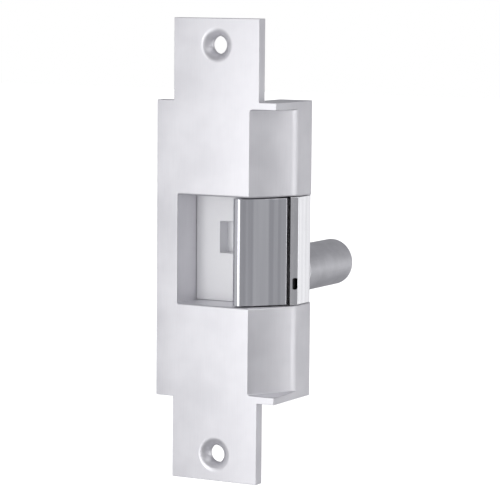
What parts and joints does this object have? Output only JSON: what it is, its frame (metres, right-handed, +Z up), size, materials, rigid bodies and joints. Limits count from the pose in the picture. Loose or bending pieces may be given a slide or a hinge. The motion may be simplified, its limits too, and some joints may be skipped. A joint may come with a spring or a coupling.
{
  "type": "electric door strike",
  "caption": "Door-frame strike with a ramped lip, a sprung rotating keeper, a lock lever and a push solenoid behind the latch pocket.",
  "frame": {"origin": "centre of the face plate's front face, midway between the two mounting holes", "axes": "+X across the plate towards the ramped lip, +Y back into the frame, +Z up along the plate"},
  "size_m": [0.0444, 0.0732, 0.1524],
  "materials": {
    "satin_steel": "satin cast stainless",
    "polished_steel": "polished stainless",
    "cast_case": "fine cast, blasted",
    "zinc_plate": "bright zinc plated",
    "dark_steel": "ground and hardened",
    "spring_steel": "drawn wire",
    "can_steel": "dull nickel plated",
    "copper_wire": "enamelled copper",
    "nylon": "moulded",
    "black_rubber": "moulded"
  },
  "bodies": {
    "strike_frame": {"face_plate": "satin_steel", "lip_guard": "polished_steel", "keeper_pin": "dark_steel", "keeper_pin_clip": "spring_steel", "keeper_spring_upper": "spring_steel", "keeper_spring_lower": "spring_steel", "lock_case": "cast_case", "case_cover": "zinc_plate", "case_screw_1": "zinc_plate", "case_screw_2": "zinc_plate", "case_screw_3": "zinc_plate", "case_screw_4": "zinc_plate", "cover_screw_1": "zinc_plate", "cover_screw_2": "zinc_plate", "cover_screw_3": "zinc_plate", "cover_screw_4": "zinc_plate", "guard_screw_1": "zinc_plate", "guard_screw_2": "zinc_plate", "lever_pin": "dark_steel", "lever_spring": "spring_steel", "solenoid_washer": "zinc_plate", "solenoid_nut": "zinc_plate", "solenoid_can": "can_steel", "solenoid_front_pole": "zinc_plate", "solenoid_bobbin": "nylon", "solenoid_winding": "copper_wire", "solenoid_end_cap": "can_steel", "lead_bushing": "black_rubber"},
    "keeper": {"keeper": "polished_steel"},
    "lock_lever": {"lock_lever": "zinc_plate"},
    "plunger": {"solenoid_plunger": "zinc_plate", "push_rod": "dark_steel"}
  },
  "joints": [
    {"name": "keeper_swing", "type": "hinge", "parent": "strike_frame", "child": "keeper", "pos_m": [0.008, 0.013, 0], "axis": [0, 0, 1], "range_deg": [0, 76], "stiffness_Nm_per_rad": 0.02, "springref_deg": -28.65},
    {"name": "plunger_push", "type": "slide", "parent": "strike_frame", "child": "plunger", "axis": [0, -1, 0], "range_m": [0, 0.0034], "stiffness_N_per_m": 120, "springref_m": -0.002},
    {"name": "lever_turn", "type": "hinge", "parent": "strike_frame", "child": "lock_lever", "pos_m": [-0.009, 0.0292, -0.0092], "axis": [0, 0, -1], "range_deg": [0, 11.5]}
  ],
  "couplings": [
    {"joint": "lever_turn", "follows": "plunger_push", "rad_per_m": 58.8}
  ]
}
